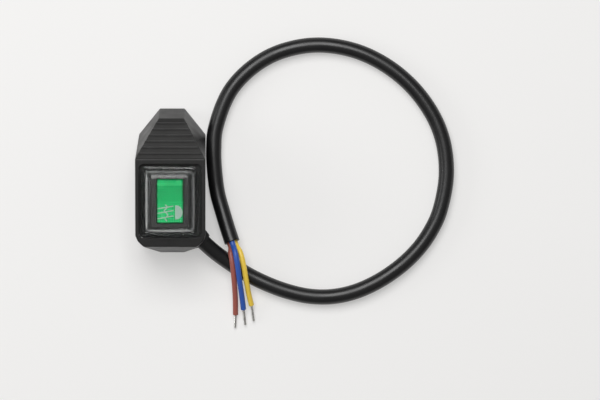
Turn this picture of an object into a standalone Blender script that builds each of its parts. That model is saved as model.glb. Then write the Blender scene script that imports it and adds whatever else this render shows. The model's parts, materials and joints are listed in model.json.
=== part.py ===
"""Lighted rocker switch under a clear waterproof cap, in a wedge-shaped surface-mount pod.

The pod lies on its flat back. +Z points out of the back towards the user, +Y towards the ribbed nose.
The origin is the middle of the pod's footprint. A three-core cable leaves the tail's right corner,
makes one loose loop beside the pod and ends in three stripped and tinned leads.
"""

import math

import bmesh
import bpy
from mathutils import Matrix, Vector

MM = 0.001
GAP = 0.1 * MM  # between two fixed pieces that touch on the real object
CORD_GAP = 0.5 * MM

# Pod: footprint, nose ridge, crest and front face
NOSE_Y = 28.1 * MM
NOSE_HALF = 4.8 * MM
SHOULDER_Y = 18.0 * MM
HALF_WIDTH = 12.95 * MM
CHEEK_Y = -23.6 * MM
CORNER = (10.3 * MM, -26.2 * MM)
TAIL_Y = -28.1 * MM
TAIL_HALF = 4.5 * MM
RIDGE_Y, RIDGE_Z = 23.9 * MM, 13.0 * MM
CREST_Y, CREST_Z = 7.9 * MM, 30.0 * MM
TOP_HALF = 13.45 * MM
TOP_TAIL_Y = -25.7 * MM
FACE_TILT = math.radians(4)
WALL = 2.0 * MM
EDGE_ROUND = 0.5 * MM

# Finger ribs: treads cut into the ramp between the ridge and the crest
RIB_COUNT = 6
RIB_START_Y, RIB_END_Y = 22.5 * MM, 8.25 * MM
RIB_TREAD = 0.6 * MM

# Back cover, its seal, its screws and the inserts that a panel's screws go into
COVER_THICK = 1.8 * MM
COVER_INSET = 1.0 * MM
LEDGE_Z = 2.4 * MM
SEAL_WIDTH = 0.85 * MM
COVER_SCREWS = [(x * MM, y * MM) for y in (9.5, -10.0) for x in (9.4, -9.4)]
SCREW_LENGTH = 8.5 * MM
SCREW_RADIUS = 0.95 * MM
SCREW_HEAD_RADIUS = 1.9 * MM
SCREW_BOSS_RADIUS = 2.3 * MM
SCREW_BOSS_TOP = 14.0 * MM
INSERTS = [(0.0, 18.0 * MM), (0.0, -21.5 * MM)]
INSERT_RADIUS = 2.1 * MM
INSERT_LENGTH = 5.8 * MM
THREAD_RADIUS = 1.25 * MM
INSERT_BOSS_RADIUS = 3.0 * MM
INSERT_BOSS_TOP = 8.0 * MM

# Switch group, in its own frame: height 0 is the floor of the pod's recess
SWITCH_Y = -8.15 * MM
RECESS_DEPTH = 1.6 * MM
RECESS = (23.8 * MM, 28.2 * MM)
RECESS_CORNER = 1.8 * MM
PANEL = 2.0 * MM
CUTOUT = (13.1 * MM, 19.4 * MM)
CAP_FLANGE = (22.7 * MM, 27.1 * MM)
BEZEL = (15.0 * MM, 21.0 * MM)
BEZEL_LOW, BEZEL_HIGH = 0.9 * MM, 2.7 * MM
BODY = (12.9 * MM, 19.2 * MM)
BODY_FLOOR = -12.1 * MM
FLOOR_THICK = 1.0 * MM
CAVITY = (10.7 * MM, 17.5 * MM)
WINDOW = (10.7 * MM, 17.3 * MM)
TAB_SPACING = 6.6 * MM
TAB = (4.8 * MM, 0.8 * MM)
TAB_END = -18.4 * MM

# Rocker, about its trunnions at height 0 of the switch frame
THROW = math.radians(11)  # each way from the middle position
ROCKER_HALF_WIDTH = 5.0 * MM
ROCKER_HALF_LENGTH = 7.3 * MM
ROCKER_HEIGHT = 3.0 * MM
TRUNNION_RADIUS = 1.1 * MM
TRUNNION_END = 6.1 * MM
PLUNGER_RADIUS = 1.2 * MM
PLUNGER_TIP = 6.2 * MM  # below the trunnions
LEVER_PIVOT = -6.25 * MM
LEVER_RISE = math.radians(8)  # each way from the middle position
LEVER_THICK = 0.5 * MM
LEVER_CONTACT_Y = 4.7 * MM

# Cable: a 3-core flexible cord of 6.0 mm with cores of 2.1 mm
CABLE_RADIUS = 3.0 * MM
CORE_RADIUS = 1.05 * MM
TIP_RADIUS = 0.55 * MM
CABLE_POINTS = 64
CABLE_ROUTE = [
    (5.6, -17.4, 9.0), (9.2, -20.95, 8.2), (12.8, -24.5, 7.2), (16.5, -27.8, 5.9),
    (20.9, -31.1, 4.4), (28.9, -36.4, 3.1), (37.3, -40.5, 3.05), (45.5, -43.45, 3.05),
    (53.8, -45.2, 3.05), (62.3, -45.3, 3.05), (70.6, -43.6, 3.05), (78.2, -40.45, 3.05),
    (85.1, -36.3, 3.05), (91.3, -31.4, 3.05), (96.75, -25.6, 3.05), (101.05, -19.1, 3.05),
    (104.2, -12.0, 3.05), (106.8, 3.15, 3.05), (104.5, 18.5, 3.05), (97.0, 32.15, 3.05),
    (85.5, 43.2, 3.05), (70.75, 50.55, 3.05), (53.7, 52.5, 3.05), (36.75, 47.6, 3.05),
    (23.4, 35.9, 3.05), (16.95, 20.3, 3.05), (16.25, 12.6, 3.05), (16.35, 6.5, 3.05), (17.6, -4.6, 3.2),
    (19.6, -12.0, 4.1), (21.8, -19.2, 5.3), (23.4, -24.0, 6.2),
]
LEAD_ROUTES = {  # from just outside the sheath's free end
    "brown": [(22.9, -28.2, 7.6), (23.5, -32.0, 8.2), (24.1, -37.6, 7.4), (24.6, -45.0, 4.4),
              (24.7, -52.4, 1.8)],
    "blue": [(24.7, -28.2, 9.5), (25.5, -32.6, 9.6), (26.4, -39.4, 7.8), (27.2, -45.0, 4.9),
             (27.8, -50.3, 2.5)],
    "yellow": [(26.6, -28.0, 7.6), (27.8, -32.6, 8.0), (29.0, -39.4, 6.6), (29.9, -44.4, 4.4),
               (30.9, -48.7, 2.5)],
}
LEAD_TIPS = {"brown": (24.5, -57.5, 0.9), "blue": (28.5, -56.4, 1.0), "yellow": (31.8, -54.9, 1.0)}
EXIT = Vector(CABLE_ROUTE[2]) * MM
SHEATH_END = Vector(CABLE_ROUTE[0]) * MM
EXIT_DIRECTION = (EXIT - SHEATH_END).normalized()
BORE_RADIUS = 4.0 * MM
INNER_CORES = {  # from just outside the sheath's inner end to under each terminal
    "blue": [(2.6, -16.6, 6.6), (1.2, -15.3, 4.6)],
    "brown": [(5.6, -13.6, 6.4), (3.9, -10.4, 4.3), (1.6, -8.4, 3.9)],
    "yellow": [(5.4, -13.4, 11.0), (5.2, -9.0, 8.6), (4.6, -4.4, 4.8), (2.2, -1.6, 3.8)],
}
CORE_TABS = {"blue": -1, "brown": 0, "yellow": 1}
CORE_SPREAD = 1.3 * MM
LEAD_ANGLES = {"brown": 330, "blue": 90, "yellow": 210}  # about the sheath, 90 is up
INNER_ANGLES = {"brown": 330, "blue": 210, "yellow": 90}

# Colours as (red, green, blue, alpha), roughness, metallic
FINISHES = {
    "pod_plastic": ((0.028, 0.028, 0.027, 1), 0.48, 0.0),
    "switch_plastic": ((0.02, 0.02, 0.021, 1), 0.35, 0.0),
    "black_rubber": ((0.02, 0.02, 0.02, 1), 0.7, 0.0),
    "clear_silicone": ((0.85, 0.88, 0.88, 0.3), 0.15, 0.0),
    "green_lens": ((0.02, 0.5, 0.16, 1), 0.25, 0.0),
    "white_nylon": ((0.8, 0.8, 0.76, 1), 0.45, 0.0),
    "brass": ((0.72, 0.52, 0.22, 1), 0.3, 1.0),
    "tinned_copper": ((0.78, 0.77, 0.74, 1), 0.3, 1.0),
    "spring_steel": ((0.62, 0.62, 0.63, 1), 0.3, 1.0),
    "cable_black": ((0.018, 0.018, 0.02, 1), 0.4, 0.0),
    "core_brown": ((0.30, 0.10, 0.07, 1), 0.45, 0.0),
    "core_blue": ((0.02, 0.08, 0.40, 1), 0.45, 0.0),
    "core_yellow": ((0.85, 0.60, 0.06, 1), 0.45, 0.0),
    "led_epoxy": ((0.75, 0.85, 0.78, 1), 0.1, 0.0),
    "resistor_coat": ((0.62, 0.50, 0.32, 1), 0.5, 0.0),
}


def clear_scene():
    for obj in list(bpy.data.objects):
        bpy.data.objects.remove(obj)


def finish(name):
    """The named material, made on its first use."""
    found = bpy.data.materials.get(name)
    if found:
        return found
    colour, roughness, metallic = FINISHES[name]
    made = bpy.data.materials.new(name)
    made.use_nodes = True
    shader = made.node_tree.nodes["Principled BSDF"]
    shader.inputs["Base Color"].default_value = colour
    shader.inputs["Alpha"].default_value = colour[3]
    shader.inputs["Roughness"].default_value = roughness
    shader.inputs["Metallic"].default_value = metallic
    return made


# ---- meshes ---------------------------------------------------------------------------------------


def mesh_of(bm, name):
    bmesh.ops.recalc_face_normals(bm, faces=bm.faces[:])
    mesh = bpy.data.meshes.new(name)
    bm.to_mesh(mesh)
    bm.free()
    return mesh


def add(name, bm, material, parent=None, round_over=None):
    """A named piece. round_over is the angle in degrees above which an edge stays sharp."""
    mesh = mesh_of(bm, name)
    mesh.materials.append(finish(material))
    if round_over:
        mesh.shade_smooth()
        mesh.set_sharp_from_angle(angle=math.radians(round_over))
    obj = bpy.data.objects.new(name, mesh)
    bpy.context.scene.collection.objects.link(obj)
    obj.parent = parent
    return obj


def combine(obj, bm, operation, parent=None, matrix=None):
    """Adds a Boolean of obj with a hidden tool shape. The tool shares obj's parent unless told otherwise."""
    name = f"{obj.name}_{operation.lower()}_{len(obj.modifiers)}"
    tool = bpy.data.objects.new(name, mesh_of(bm, name))
    bpy.context.scene.collection.objects.link(tool)
    tool.parent = parent or obj.parent
    if matrix:
        tool.matrix_local = matrix
    tool.hide_render = True
    tool.display_type = "WIRE"
    modifier = obj.modifiers.new(name, "BOOLEAN")
    modifier.operation = operation
    modifier.object = tool
    return obj


def cut(obj, bm, **where):
    return combine(obj, bm, "DIFFERENCE", **where)


def join(obj, bm, **where):
    return combine(obj, bm, "UNION", **where)


def loft(sections):
    """A closed solid through rings of points that have the same count."""
    bm = bmesh.new()
    rings = [[bm.verts.new(p) for p in section] for section in sections]
    count = len(rings[0])
    for low, high in zip(rings, rings[1:]):
        for i in range(count):
            j = (i + 1) % count
            bm.faces.new((low[i], low[j], high[j], high[i]))
    bm.faces.new(reversed(rings[0]))
    bm.faces.new(rings[-1])
    return bm


def rounded_rect(size, corner, height, centre=(0.0, 0.0), steps=3):
    """The points of a rectangle with round corners, size (x, y), at a height."""
    points = []
    for quarter in range(4):
        sx, sy = ((1, 1), (-1, 1), (-1, -1), (1, -1))[quarter]
        cx, cy = sx * (size[0] / 2 - corner), sy * (size[1] / 2 - corner)
        for step in range(steps + 1):
            angle = math.pi / 2 * (quarter + step / steps)
            x = centre[0] + cx + corner * math.cos(angle)
            y = centre[1] + cy + corner * math.sin(angle)
            points.append((x, y, height))
    return points


def rounded_block(size, corner, low, high, centre=(0.0, 0.0), steps=3):
    return loft([rounded_rect(size, corner, z, centre, steps) for z in (low, high)])


def block(x, y, z):
    """A box from (low, high) pairs along each axis."""
    return loft([[(x[0], y[0], h), (x[1], y[0], h), (x[1], y[1], h), (x[0], y[1], h)] for h in z])


def cross_prism(outline, half_width):
    """An outline in the YZ plane, extruded both ways along X."""
    return loft([[(x, y, z) for y, z in outline] for x in (-half_width, half_width)])


def lathe(profile, steps=20, ring=False):
    """Turns a profile of (radius, height) about Z. A ring profile is a closed loop off the axis."""
    bm = bmesh.new()
    rows = []
    for radius, height in profile:
        if radius == 0:
            rows.append([bm.verts.new((0, 0, height))])
            continue
        angles = [2 * math.pi * i / steps for i in range(steps)]
        rows.append([bm.verts.new((radius * math.cos(a), radius * math.sin(a), height)) for a in angles])
    pairs = list(zip(rows, rows[1:]))
    if ring:
        pairs.append((rows[-1], rows[0]))
    for low, high in pairs:
        for i in range(steps):
            j = (i + 1) % steps
            corners = [low[i % len(low)], low[j % len(low)], high[j % len(high)], high[i % len(high)]]
            bm.faces.new(list(dict.fromkeys(corners)))
    return bm


def rod(radius, low, high, steps=20, centre=(0.0, 0.0)):
    bm = lathe([(0, low), (radius, low), (radius, high), (0, high)], steps)
    bmesh.ops.translate(bm, verts=bm.verts, vec=(*centre, 0))
    return bm


def rod_x(radius, low, high, steps=16):
    bm = rod(radius, low, high, steps)
    bmesh.ops.rotate(bm, verts=bm.verts, matrix=Matrix.Rotation(math.pi / 2, 3, "Y"))
    return bm


def sweep(points, radii, sides=6):
    """A tube through points, with a radius at each, and closed ends."""
    points = [Vector(p) for p in points]
    ahead = [(b - a).normalized() for a, b in zip(points, points[1:])]
    tangents = [ahead[0]] + [(a + b).normalized() for a, b in zip(ahead, ahead[1:])] + [ahead[-1]]
    side = tangents[0].orthogonal().normalized()
    sections = []
    for point, tangent, radius in zip(points, tangents, radii):
        side = (side - tangent * side.dot(tangent)).normalized()
        up = tangent.cross(side)
        turns = [2 * math.pi * i / sides for i in range(sides)]
        sections.append([point + radius * (math.cos(t) * side + math.sin(t) * up) for t in turns])
    return loft(sections)


def convex(planes):
    """The solid inside a list of planes, each (point, outward normal)."""
    bm = bmesh.new()
    bmesh.ops.create_cube(bm, size=0.2)
    for point, normal in planes:
        everything = bm.verts[:] + bm.edges[:] + bm.faces[:]
        bmesh.ops.bisect_plane(bm, geom=everything, plane_co=point, plane_no=normal, clear_outer=True)
        bmesh.ops.edgeloop_fill(bm, edges=[e for e in bm.edges if e.is_boundary])
        bmesh.ops.remove_doubles(bm, verts=bm.verts, dist=0.02 * MM)
    return bm


# ---- routes ---------------------------------------------------------------------------------------


def smooth_line(route, fine=16):
    """Points on a centripetal Catmull-Rom curve through a route given in millimetres."""
    knots = [Vector(p) * MM for p in route]
    knots = [2 * knots[0] - knots[1], *knots, 2 * knots[-1] - knots[-2]]
    line = []
    for a, b, c, d in zip(knots, knots[1:], knots[2:], knots[3:]):
        t1 = (b - a).length ** 0.5
        t2 = t1 + (c - b).length ** 0.5
        t3 = t2 + (d - c).length ** 0.5
        for step in range(fine):
            t = t1 + (t2 - t1) * step / fine
            ab = a.lerp(b, t / t1)
            bc = b.lerp(c, (t - t1) / (t2 - t1))
            cd = c.lerp(d, (t - t2) / (t3 - t2))
            line.append(ab.lerp(bc, t / t2).lerp(bc.lerp(cd, (t - t1) / (t3 - t1)), (t - t1) / (t2 - t1)))
    line.append(knots[-2])
    return line


def evenly(line, count):
    """The same line, as count points evenly spaced along it."""
    reach = [0.0]
    for a, b in zip(line, line[1:]):
        reach.append(reach[-1] + (b - a).length)
    points, segment = [], 0
    for i in range(count):
        at = reach[-1] * i / (count - 1)
        while segment < len(line) - 2 and reach[segment + 1] < at:
            segment += 1
        share = (at - reach[segment]) / (reach[segment + 1] - reach[segment])
        points.append(line[segment].lerp(line[segment + 1], share))
    return points


def cord(name, points, radius, material):
    """A tube with flat ends along a poly spline."""
    curve = bpy.data.curves.new(name, "CURVE")
    curve.dimensions = "3D"
    curve.bevel_depth = radius
    curve.bevel_resolution = 2
    curve.use_fill_caps = True
    spline = curve.splines.new("POLY")
    spline.points.add(len(points) - 1)
    for target, point in zip(spline.points, points):
        target.co = (*point, 1)
    curve.materials.append(finish(material))
    obj = bpy.data.objects.new(name, curve)
    bpy.context.scene.collection.objects.link(obj)
    return obj


# ---- frames ---------------------------------------------------------------------------------------


def axis(name, matrix, parent=None):
    empty = bpy.data.objects.new(name, None)
    bpy.context.scene.collection.objects.link(empty)
    empty.parent = parent
    empty.matrix_local = matrix
    return empty


def face_height(y):
    """Height of the pod's front face above the back, at a place along Y."""
    return CREST_Z - (CREST_Y - y) * math.tan(FACE_TILT)


def switch_matrix():
    normal = Vector((0, -math.sin(FACE_TILT), math.cos(FACE_TILT)))
    origin = Vector((0, SWITCH_Y, face_height(SWITCH_Y))) - normal * RECESS_DEPTH
    return Matrix.Translation(origin) @ Matrix.Rotation(FACE_TILT, 4, "X")


def cable_matrix():
    turn = EXIT_DIRECTION.to_track_quat("Z", "Y").to_matrix().to_4x4()
    return Matrix.Translation(EXIT) @ turn


# ---- pod ------------------------------------------------------------------------------------------


def footprint():
    """The right-hand points of the outline on the table, from the nose to the tail."""
    return [(NOSE_HALF, NOSE_Y), (HALF_WIDTH, SHOULDER_Y), (HALF_WIDTH, CHEEK_Y), CORNER, (TAIL_HALF, TAIL_Y)]


def plane(a, b, c, inset):
    """The plane through three points, moved towards the inside of the pod."""
    a, b, c = Vector(a), Vector(b), Vector(c)
    normal = (b - a).cross(c - a).normalized()
    inside = Vector((0, 0, RIDGE_Z))
    if (inside - a).dot(normal) > 0:
        normal = -normal
    return a - normal * inset, normal


def wall_planes(inset):
    """The side and end walls, the sides leaning out a little towards the face."""
    nose, shoulder, cheek, corner, tail = [(x, y, 0) for x, y in footprint()]
    top_z = face_height(TOP_TAIL_Y)
    top_corner = (CORNER[0], CORNER[1] + 0.5 * MM, top_z)
    right = [
        plane(shoulder, cheek, (TOP_HALF, 0, CREST_Z), inset),
        plane(nose, shoulder, (TOP_HALF, CREST_Y, CREST_Z), inset),
        plane(corner, tail, top_corner, inset),
        plane(cheek, corner, top_corner, inset),
    ]
    left = [(Vector((-p.x, p.y, p.z)), Vector((-n.x, n.y, n.z))) for p, n in right]
    ends = [
        plane(nose, (0, NOSE_Y, 0), (0, RIDGE_Y, RIDGE_Z), inset),
        plane(tail, (0, TAIL_Y, 0), (0, TOP_TAIL_Y, top_z), inset),
    ]
    return right + left + ends


def top_planes(ramp_inset, face_inset):
    across = Vector((1, 0, 0))
    ridge, crest = Vector((0, RIDGE_Y, RIDGE_Z)), Vector((0, CREST_Y, CREST_Z))
    tail = Vector((0, TOP_TAIL_Y, face_height(TOP_TAIL_Y)))
    return [plane(ridge, crest, crest + across, ramp_inset), plane(crest, tail, crest + across, face_inset)]


def pod_block(inset, low, high=None, ramp_inset=None, face_inset=None):
    """The pod's wedge, or its footprint from low to high where high is given."""
    planes = wall_planes(inset) + [(Vector((0, 0, low)), Vector((0, 0, -1)))]
    if high is None:
        planes += top_planes(ramp_inset, face_inset)
    else:
        planes.append((Vector((0, 0, high)), Vector((0, 0, 1))))
    return convex(planes)


def rib_cutter():
    """Everything above the stepped treads and risers of the ramp."""
    slope = (CREST_Z - RIDGE_Z) / (RIDGE_Y - CREST_Y)
    pitch = (RIB_START_Y - RIB_END_Y) / RIB_COUNT
    outline = []
    for index in range(RIB_COUNT):
        y = RIB_START_Y - pitch * index
        z = RIDGE_Z + (RIDGE_Y - y) * slope - 0.04 * MM
        outline += [(y, z), (y - RIB_TREAD, z)]
    lift = 3 * MM
    end_z = RIDGE_Z + (RIDGE_Y - RIB_END_Y) * slope
    outline += [(RIB_END_Y, end_z), (RIB_END_Y + lift, end_z + lift), (RIB_START_Y + lift, outline[0][1] + lift)]
    return cross_prism(outline, 1.2 * HALF_WIDTH)


def rounding(obj, width, angle=12):
    modifier = obj.modifiers.new("rounding", "BEVEL")
    modifier.width = width
    modifier.segments = 2
    modifier.limit_method = "ANGLE"
    modifier.angle_limit = math.radians(angle)


def front_housing(switch, cable):
    housing = add("front_housing", pod_block(0, 0, None, 0, 0), "pod_plastic")
    rounding(housing, EDGE_ROUND)
    cut(housing, rib_cutter())
    cut(housing, pod_block(WALL, -5 * MM, None, WALL + 0.6 * MM, RECESS_DEPTH + PANEL))
    for x, y in COVER_SCREWS:
        join(housing, rod(SCREW_BOSS_RADIUS, LEDGE_Z - MM, SCREW_BOSS_TOP, 16, (x, y)))
    join(housing, rod(5.0 * MM, -6.9 * MM, -4.1 * MM, 26), matrix=cable.matrix_basis)
    cut(housing, rod(BORE_RADIUS, -12.3 * MM, 6.4 * MM, 28), matrix=cable.matrix_basis)
    cut(housing, pod_block(COVER_INSET - GAP, -5 * MM, LEDGE_Z))
    for x, y in COVER_SCREWS:
        cut(housing, rod(SCREW_RADIUS + GAP, -MM, SCREW_LENGTH + 1.5 * MM, 12, (x, y)))
    recess = rounded_block(RECESS, RECESS_CORNER, 0, 5 * MM)
    cut(housing, recess, matrix=switch.matrix_basis)
    cut(housing, rounded_block(CUTOUT, 0.4 * MM, -8 * MM, 5 * MM, steps=1), matrix=switch.matrix_basis)
    return housing


def back_cover():
    cover = add("back_cover", pod_block(COVER_INSET, 0, COVER_THICK), "pod_plastic")
    for x, y in INSERTS:
        join(cover, rod(INSERT_BOSS_RADIUS, 0.5 * MM, INSERT_BOSS_TOP, 20, (x, y)))
        cut(cover, rod(INSERT_RADIUS + GAP, -1 * MM, INSERT_LENGTH + 0.6 * MM, 20, (x, y)))
    for x, y in COVER_SCREWS:
        head, shank = SCREW_HEAD_RADIUS + GAP, SCREW_RADIUS + 0.2 * MM
        profile = [(0, -1 * MM), (head, -1 * MM), (head, 0.1 * MM), (shank, 1.15 * MM), (shank, 3 * MM), (0, 3 * MM)]
        hole = lathe(profile, 16)
        bmesh.ops.translate(hole, verts=hole.verts, vec=(x, y, 0))
        cut(cover, hole)
    return cover


def cover_gasket():
    low, high = COVER_THICK + GAP, LEDGE_Z - GAP
    seal = add("cover_gasket", pod_block(COVER_INSET + 0.05 * MM, low, high), "black_rubber")
    cut(seal, pod_block(COVER_INSET + SEAL_WIDTH, low - MM, high + MM))
    return seal


def cover_screw(index, x, y):
    """A countersunk screw with a cross recess, pointing up into its boss."""
    low = 0.15 * MM
    profile = [
        (0, low), (SCREW_HEAD_RADIUS, low), (SCREW_RADIUS, low + 1.1 * MM),
        (SCREW_RADIUS, SCREW_LENGTH - MM), (0.4 * MM, SCREW_LENGTH), (0, SCREW_LENGTH),
    ]
    screw = add(f"cover_screw_{index}", lathe(profile, 16), "spring_steel", round_over=35)
    screw.location = (x, y, 0)
    arm, half = 1.1 * MM, 0.25 * MM
    depth = (-MM, low + 0.7 * MM)
    where = Matrix.Translation((x, y, 0))
    cut(screw, block((-arm, arm), (-half, half), depth), matrix=where)
    cut(screw, block((-half, half), (-arm, arm), depth), matrix=where)
    return screw


def mounting_insert(index, x, y):
    """A brass insert with straight knurls, a groove round its waist and an open thread bore."""
    teeth = 18
    angles = [2 * math.pi * i / (2 * teeth) for i in range(2 * teeth)]

    def outline(radius, tooth, z):
        reach = [radius - (tooth if i % 2 else 0) for i in range(2 * teeth)]
        return [(r * math.cos(a), r * math.sin(a), z) for r, a in zip(reach, angles)]

    low, high = 0.05 * MM, INSERT_LENGTH
    waist = (low + high) / 2
    groove, tooth, body = 0.5 * MM, 0.18 * MM, INSERT_RADIUS
    sections = [
        outline(body, tooth, low), outline(body, tooth, waist - groove),
        outline(body - 0.35 * MM, 0, waist - 0.7 * groove), outline(body - 0.35 * MM, 0, waist + 0.7 * groove),
        outline(body, tooth, waist + groove), outline(body, tooth, high),
    ]
    insert = add(f"mounting_insert_{index}", loft(sections), "brass")
    insert.location = (x, y, 0)
    bore = lathe([(0, -MM), (1.6 * MM, -MM), (1.6 * MM, 0.1 * MM), (THREAD_RADIUS, 0.5 * MM),
                  (THREAD_RADIUS, high + MM), (0, high + MM)], 16)
    return cut(insert, bore, matrix=Matrix.Translation((x, y, 0)))


# ---- switch ---------------------------------------------------------------------------------------


def boot_cap(switch):
    """Clear dome with a flange in the pod's recess and a lip that the bezel holds down."""
    flange, dome = CAP_FLANGE, (20.9 * MM, 25.6 * MM)

    def inwards(size, step):
        return size[0] - 2 * step, size[1] - 2 * step

    outer = [
        rounded_rect(flange, 1.7 * MM, GAP),
        rounded_rect(flange, 1.7 * MM, 0.9 * MM),
        rounded_rect(dome, 1.9 * MM, 1.2 * MM),
        rounded_rect(inwards(dome, 0.25 * MM), 2.0 * MM, 3.4 * MM),
        rounded_rect(inwards(dome, 0.9 * MM), 2.2 * MM, 6.2 * MM),
        rounded_rect(inwards(dome, 1.6 * MM), 2.2 * MM, 7.3 * MM),
        rounded_rect(inwards(dome, 2.5 * MM), 2.0 * MM, 7.7 * MM),
    ]
    inner = [
        rounded_rect(inwards(dome, 0.9 * MM), 1.5 * MM, 0.8 * MM),
        rounded_rect(inwards(dome, 1.0 * MM), 1.5 * MM, 3.4 * MM),
        rounded_rect(inwards(dome, 1.7 * MM), 1.6 * MM, 5.8 * MM),
        rounded_rect(inwards(dome, 2.3 * MM), 1.6 * MM, 6.6 * MM),
        rounded_rect(inwards(dome, 3.0 * MM), 1.4 * MM, 6.9 * MM),
    ]
    cap = add("boot_cap", loft(outer), "clear_silicone", switch, round_over=40)
    cut(cap, loft(inner))
    return cut(cap, rounded_block(CUTOUT, 0.5 * MM, -MM, 1.5 * MM, steps=1))


def switch_body(switch):
    bezel = [
        rounded_rect(BEZEL, 1.2 * MM, BEZEL_LOW),
        rounded_rect(BEZEL, 1.2 * MM, BEZEL_HIGH - 0.5 * MM),
        rounded_rect((BEZEL[0] - 0.9 * MM, BEZEL[1] - 0.9 * MM), 0.9 * MM, BEZEL_HIGH),
    ]
    body = add("switch_body", loft(bezel), "switch_plastic", switch)
    join(body, rounded_block(BODY, 0.4 * MM, BODY_FLOOR, BEZEL_LOW + 0.5 * MM, steps=1))
    for side in (1, -1):
        reach, root = BODY[1] / 2 + 0.65 * MM, BODY[1] / 2 - 0.2 * MM
        wing = [(side * root, -2.2 * MM), (side * reach, -2.2 * MM), (side * root, -7.0 * MM)]
        join(body, cross_prism(wing, 3.2 * MM))
    top_cavity = BEZEL_HIGH - 0.8 * MM
    cut(body, rounded_block(WINDOW, 0.4 * MM, top_cavity - MM, BEZEL_HIGH + MM, steps=1))
    cut(body, rounded_block(CAVITY, 0.4 * MM, BODY_FLOOR + FLOOR_THICK, top_cavity, steps=1))
    cut(body, rod_x(TRUNNION_RADIUS + 0.12 * MM, -8 * MM, 8 * MM))
    for place in (-1, 0, 1):
        y = place * TAB_SPACING
        half = (TAB[0] / 2 + GAP, TAB[1] / 2 + GAP)
        cut(body, block((-half[0], half[0]), (y - half[1], y + half[1]), (BODY_FLOOR - MM, BODY_FLOOR + 2 * MM)))
    return body


def rocker_outline(radius, low_angle, half_length, height):
    """The rocker's side view: a shallow V between two arcs about the trunnions."""
    top = height + half_length * math.tan(THROW)
    high_angle = math.atan2(top, half_length)
    angles = [low_angle + (high_angle - low_angle) * i / 5 for i in range(6)]
    right = [(radius * math.cos(a), radius * math.sin(a)) for a in angles]
    left = [(-y, z) for y, z in reversed(right)]
    return right + [(0, height)] + left


def rocker_button(rocker):
    top = ROCKER_HEIGHT + ROCKER_HALF_LENGTH * math.tan(THROW)
    radius = math.hypot(ROCKER_HALF_LENGTH, top)
    outline = rocker_outline(radius, math.radians(-12), ROCKER_HALF_LENGTH, ROCKER_HEIGHT)
    button = add("rocker_button", cross_prism(outline, ROCKER_HALF_WIDTH), "green_lens", rocker)
    edges = button.modifiers.new("edges", "BEVEL")
    edges.width = 0.3 * MM
    edges.limit_method = "ANGLE"
    edges.angle_limit = math.radians(50)
    for side in (1, -1):
        ends = sorted((side * (ROCKER_HALF_WIDTH - 0.4 * MM), side * TRUNNION_END))
        join(button, rod_x(TRUNNION_RADIUS, *ends))
    inner = rocker_outline(radius - 1.2 * MM, math.radians(-30), ROCKER_HALF_LENGTH - 1.1 * MM, ROCKER_HEIGHT - 1.1 * MM)
    cut(button, cross_prism(inner, ROCKER_HALF_WIDTH - 0.9 * MM))
    join(button, rod(1.9 * MM, -3.2 * MM, ROCKER_HEIGHT - 0.6 * MM, 16))
    cut(button, rod(PLUNGER_RADIUS + GAP, -5 * MM, 1.4 * MM, 16))
    return button


def rocker_plunger(rocker):
    """A nylon cup with a round tip that slides in the rocker's tube."""
    r, bore, tip = PLUNGER_RADIUS, 0.85 * MM, PLUNGER_TIP
    round_tip = [(r * math.sin(math.radians(a)), -tip + r - r * math.cos(math.radians(a))) for a in (0, 30, 60, 90)]
    round_tip[0] = (0, -tip)
    profile = round_tip + [(r, -1.2 * MM), (bore, -1.2 * MM), (bore, -4.7 * MM), (0, -4.7 * MM)]
    return add("rocker_plunger", lathe(profile, 16), "white_nylon", rocker, round_over=40)


def plunger_spring(rocker):
    turns, per_turn, radius, wire = 6, 10, 0.6 * MM, 0.13 * MM
    low, high = -4.7 * MM + GAP + wire, 1.4 * MM - GAP - wire
    points = []
    for i in range(turns * per_turn + 1):
        angle = 2 * math.pi * i / per_turn
        height = low + (high - low) * i / (turns * per_turn)
        points.append((radius * math.cos(angle), radius * math.sin(angle), height))
    return add("plunger_spring", sweep(points, [wire] * len(points), 5), "spring_steel", rocker, round_over=80)


def contact_lever(lever):
    """A shallow V blade that rocks on the supply terminal, with a silver contact under its long arm."""
    rise, thick = math.tan(LEVER_RISE), LEVER_THICK
    long_arm, short_arm = 5.5 * MM, 2.5 * MM
    outline = [
        (-short_arm, short_arm * rise), (0, 0), (long_arm, long_arm * rise),
        (long_arm, long_arm * rise - thick), (0, -thick), (-short_arm, short_arm * rise - thick),
    ]
    blade = add("contact_lever", cross_prism(outline, 1.4 * MM), "brass", lever)
    tilt = Matrix.Rotation(LEVER_RISE, 4, "X") @ Matrix.Translation((0, LEVER_CONTACT_Y, 0))
    return join(blade, rod(0.9 * MM, -thick - 0.4 * MM, -0.1 * MM, 14), matrix=tilt)


def tab_terminal(name, switch, place, top):
    y = place * TAB_SPACING
    half = (TAB[0] / 2, TAB[1] / 2)
    return add(name, block((-half[0], half[0]), (y - half[1], y + half[1]), (TAB_END, top)), "brass", switch)


def terminals(switch):
    supply = tab_terminal("supply_terminal", switch, 0, LEVER_PIVOT - LEVER_THICK - GAP)
    load = tab_terminal("load_terminal", switch, 1, -7.85 * MM)
    join(load, block((-1.6 * MM, 1.6 * MM), (3.7 * MM, TAB_SPACING), (-8.4 * MM, -7.85 * MM)))
    contact = rod(0.9 * MM, -8.0 * MM, -7.27 * MM, 14, (0, LEVER_CONTACT_Y))
    join(load, contact)
    lamp = tab_terminal("lamp_terminal", switch, -1, -9.4 * MM)
    return supply, load, lamp


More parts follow.
